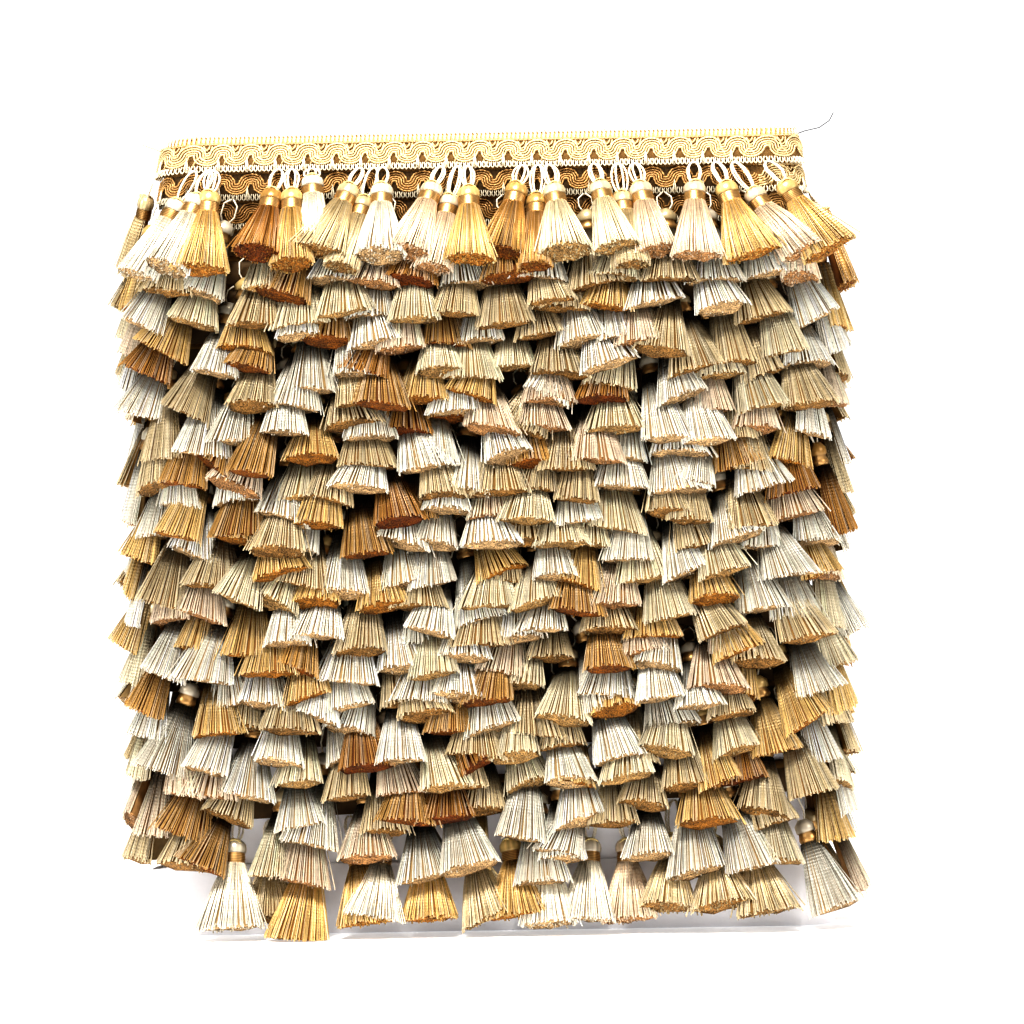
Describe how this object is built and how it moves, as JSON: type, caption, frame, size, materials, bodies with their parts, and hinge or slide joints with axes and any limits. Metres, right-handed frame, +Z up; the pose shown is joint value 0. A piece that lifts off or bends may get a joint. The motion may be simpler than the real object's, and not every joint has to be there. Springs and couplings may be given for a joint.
{
  "type": "tassel fringe trim wound on a card",
  "caption": "Decorative trim of a scrolled gimp braid heading with hanging cut tassels, wound in overlapping turns round a flat upright card.",
  "frame": {"origin": "the middle of the card's foot, on the surface it stands on", "axes": "+Z up the card, +X to the right seen from the front, the front facing -Y"},
  "size_m": [0.2893, 0.0881, 0.3173],
  "materials": {
    "card": "matt white",
    "braid": "cream and pale gold cord with a soft sheen",
    "tassels": "silky cut threads in cream, champagne, gold, rust and pinkish beige"
  },
  "bodies": {
    "root": {"card_core": "card", "card_band": "card", "gimp_heading": "braid", "tassel_row_01": "tassels", "tassel_row_02": "tassels", "tassel_row_03": "tassels", "tassel_row_04": "tassels", "tassel_row_05": "tassels", "tassel_row_06": "tassels", "tassel_row_07": "tassels", "tassel_row_08": "tassels", "tassel_row_09": "tassels", "tassel_row_10": "tassels", "tassel_row_11": "tassels", "tassel_row_12": "tassels", "tassel_row_13": "tassels", "tassel_row_14": "tassels", "tassel_row_15": "tassels", "tassel_row_16": "tassels", "tassel_row_17": "tassels", "tassel_row_18": "tassels", "tassel_row_19": "tassels", "tassel_row_20": "tassels", "tassel_row_21": "tassels", "tassel_row_22": "tassels"}
  },
  "joints": []
}
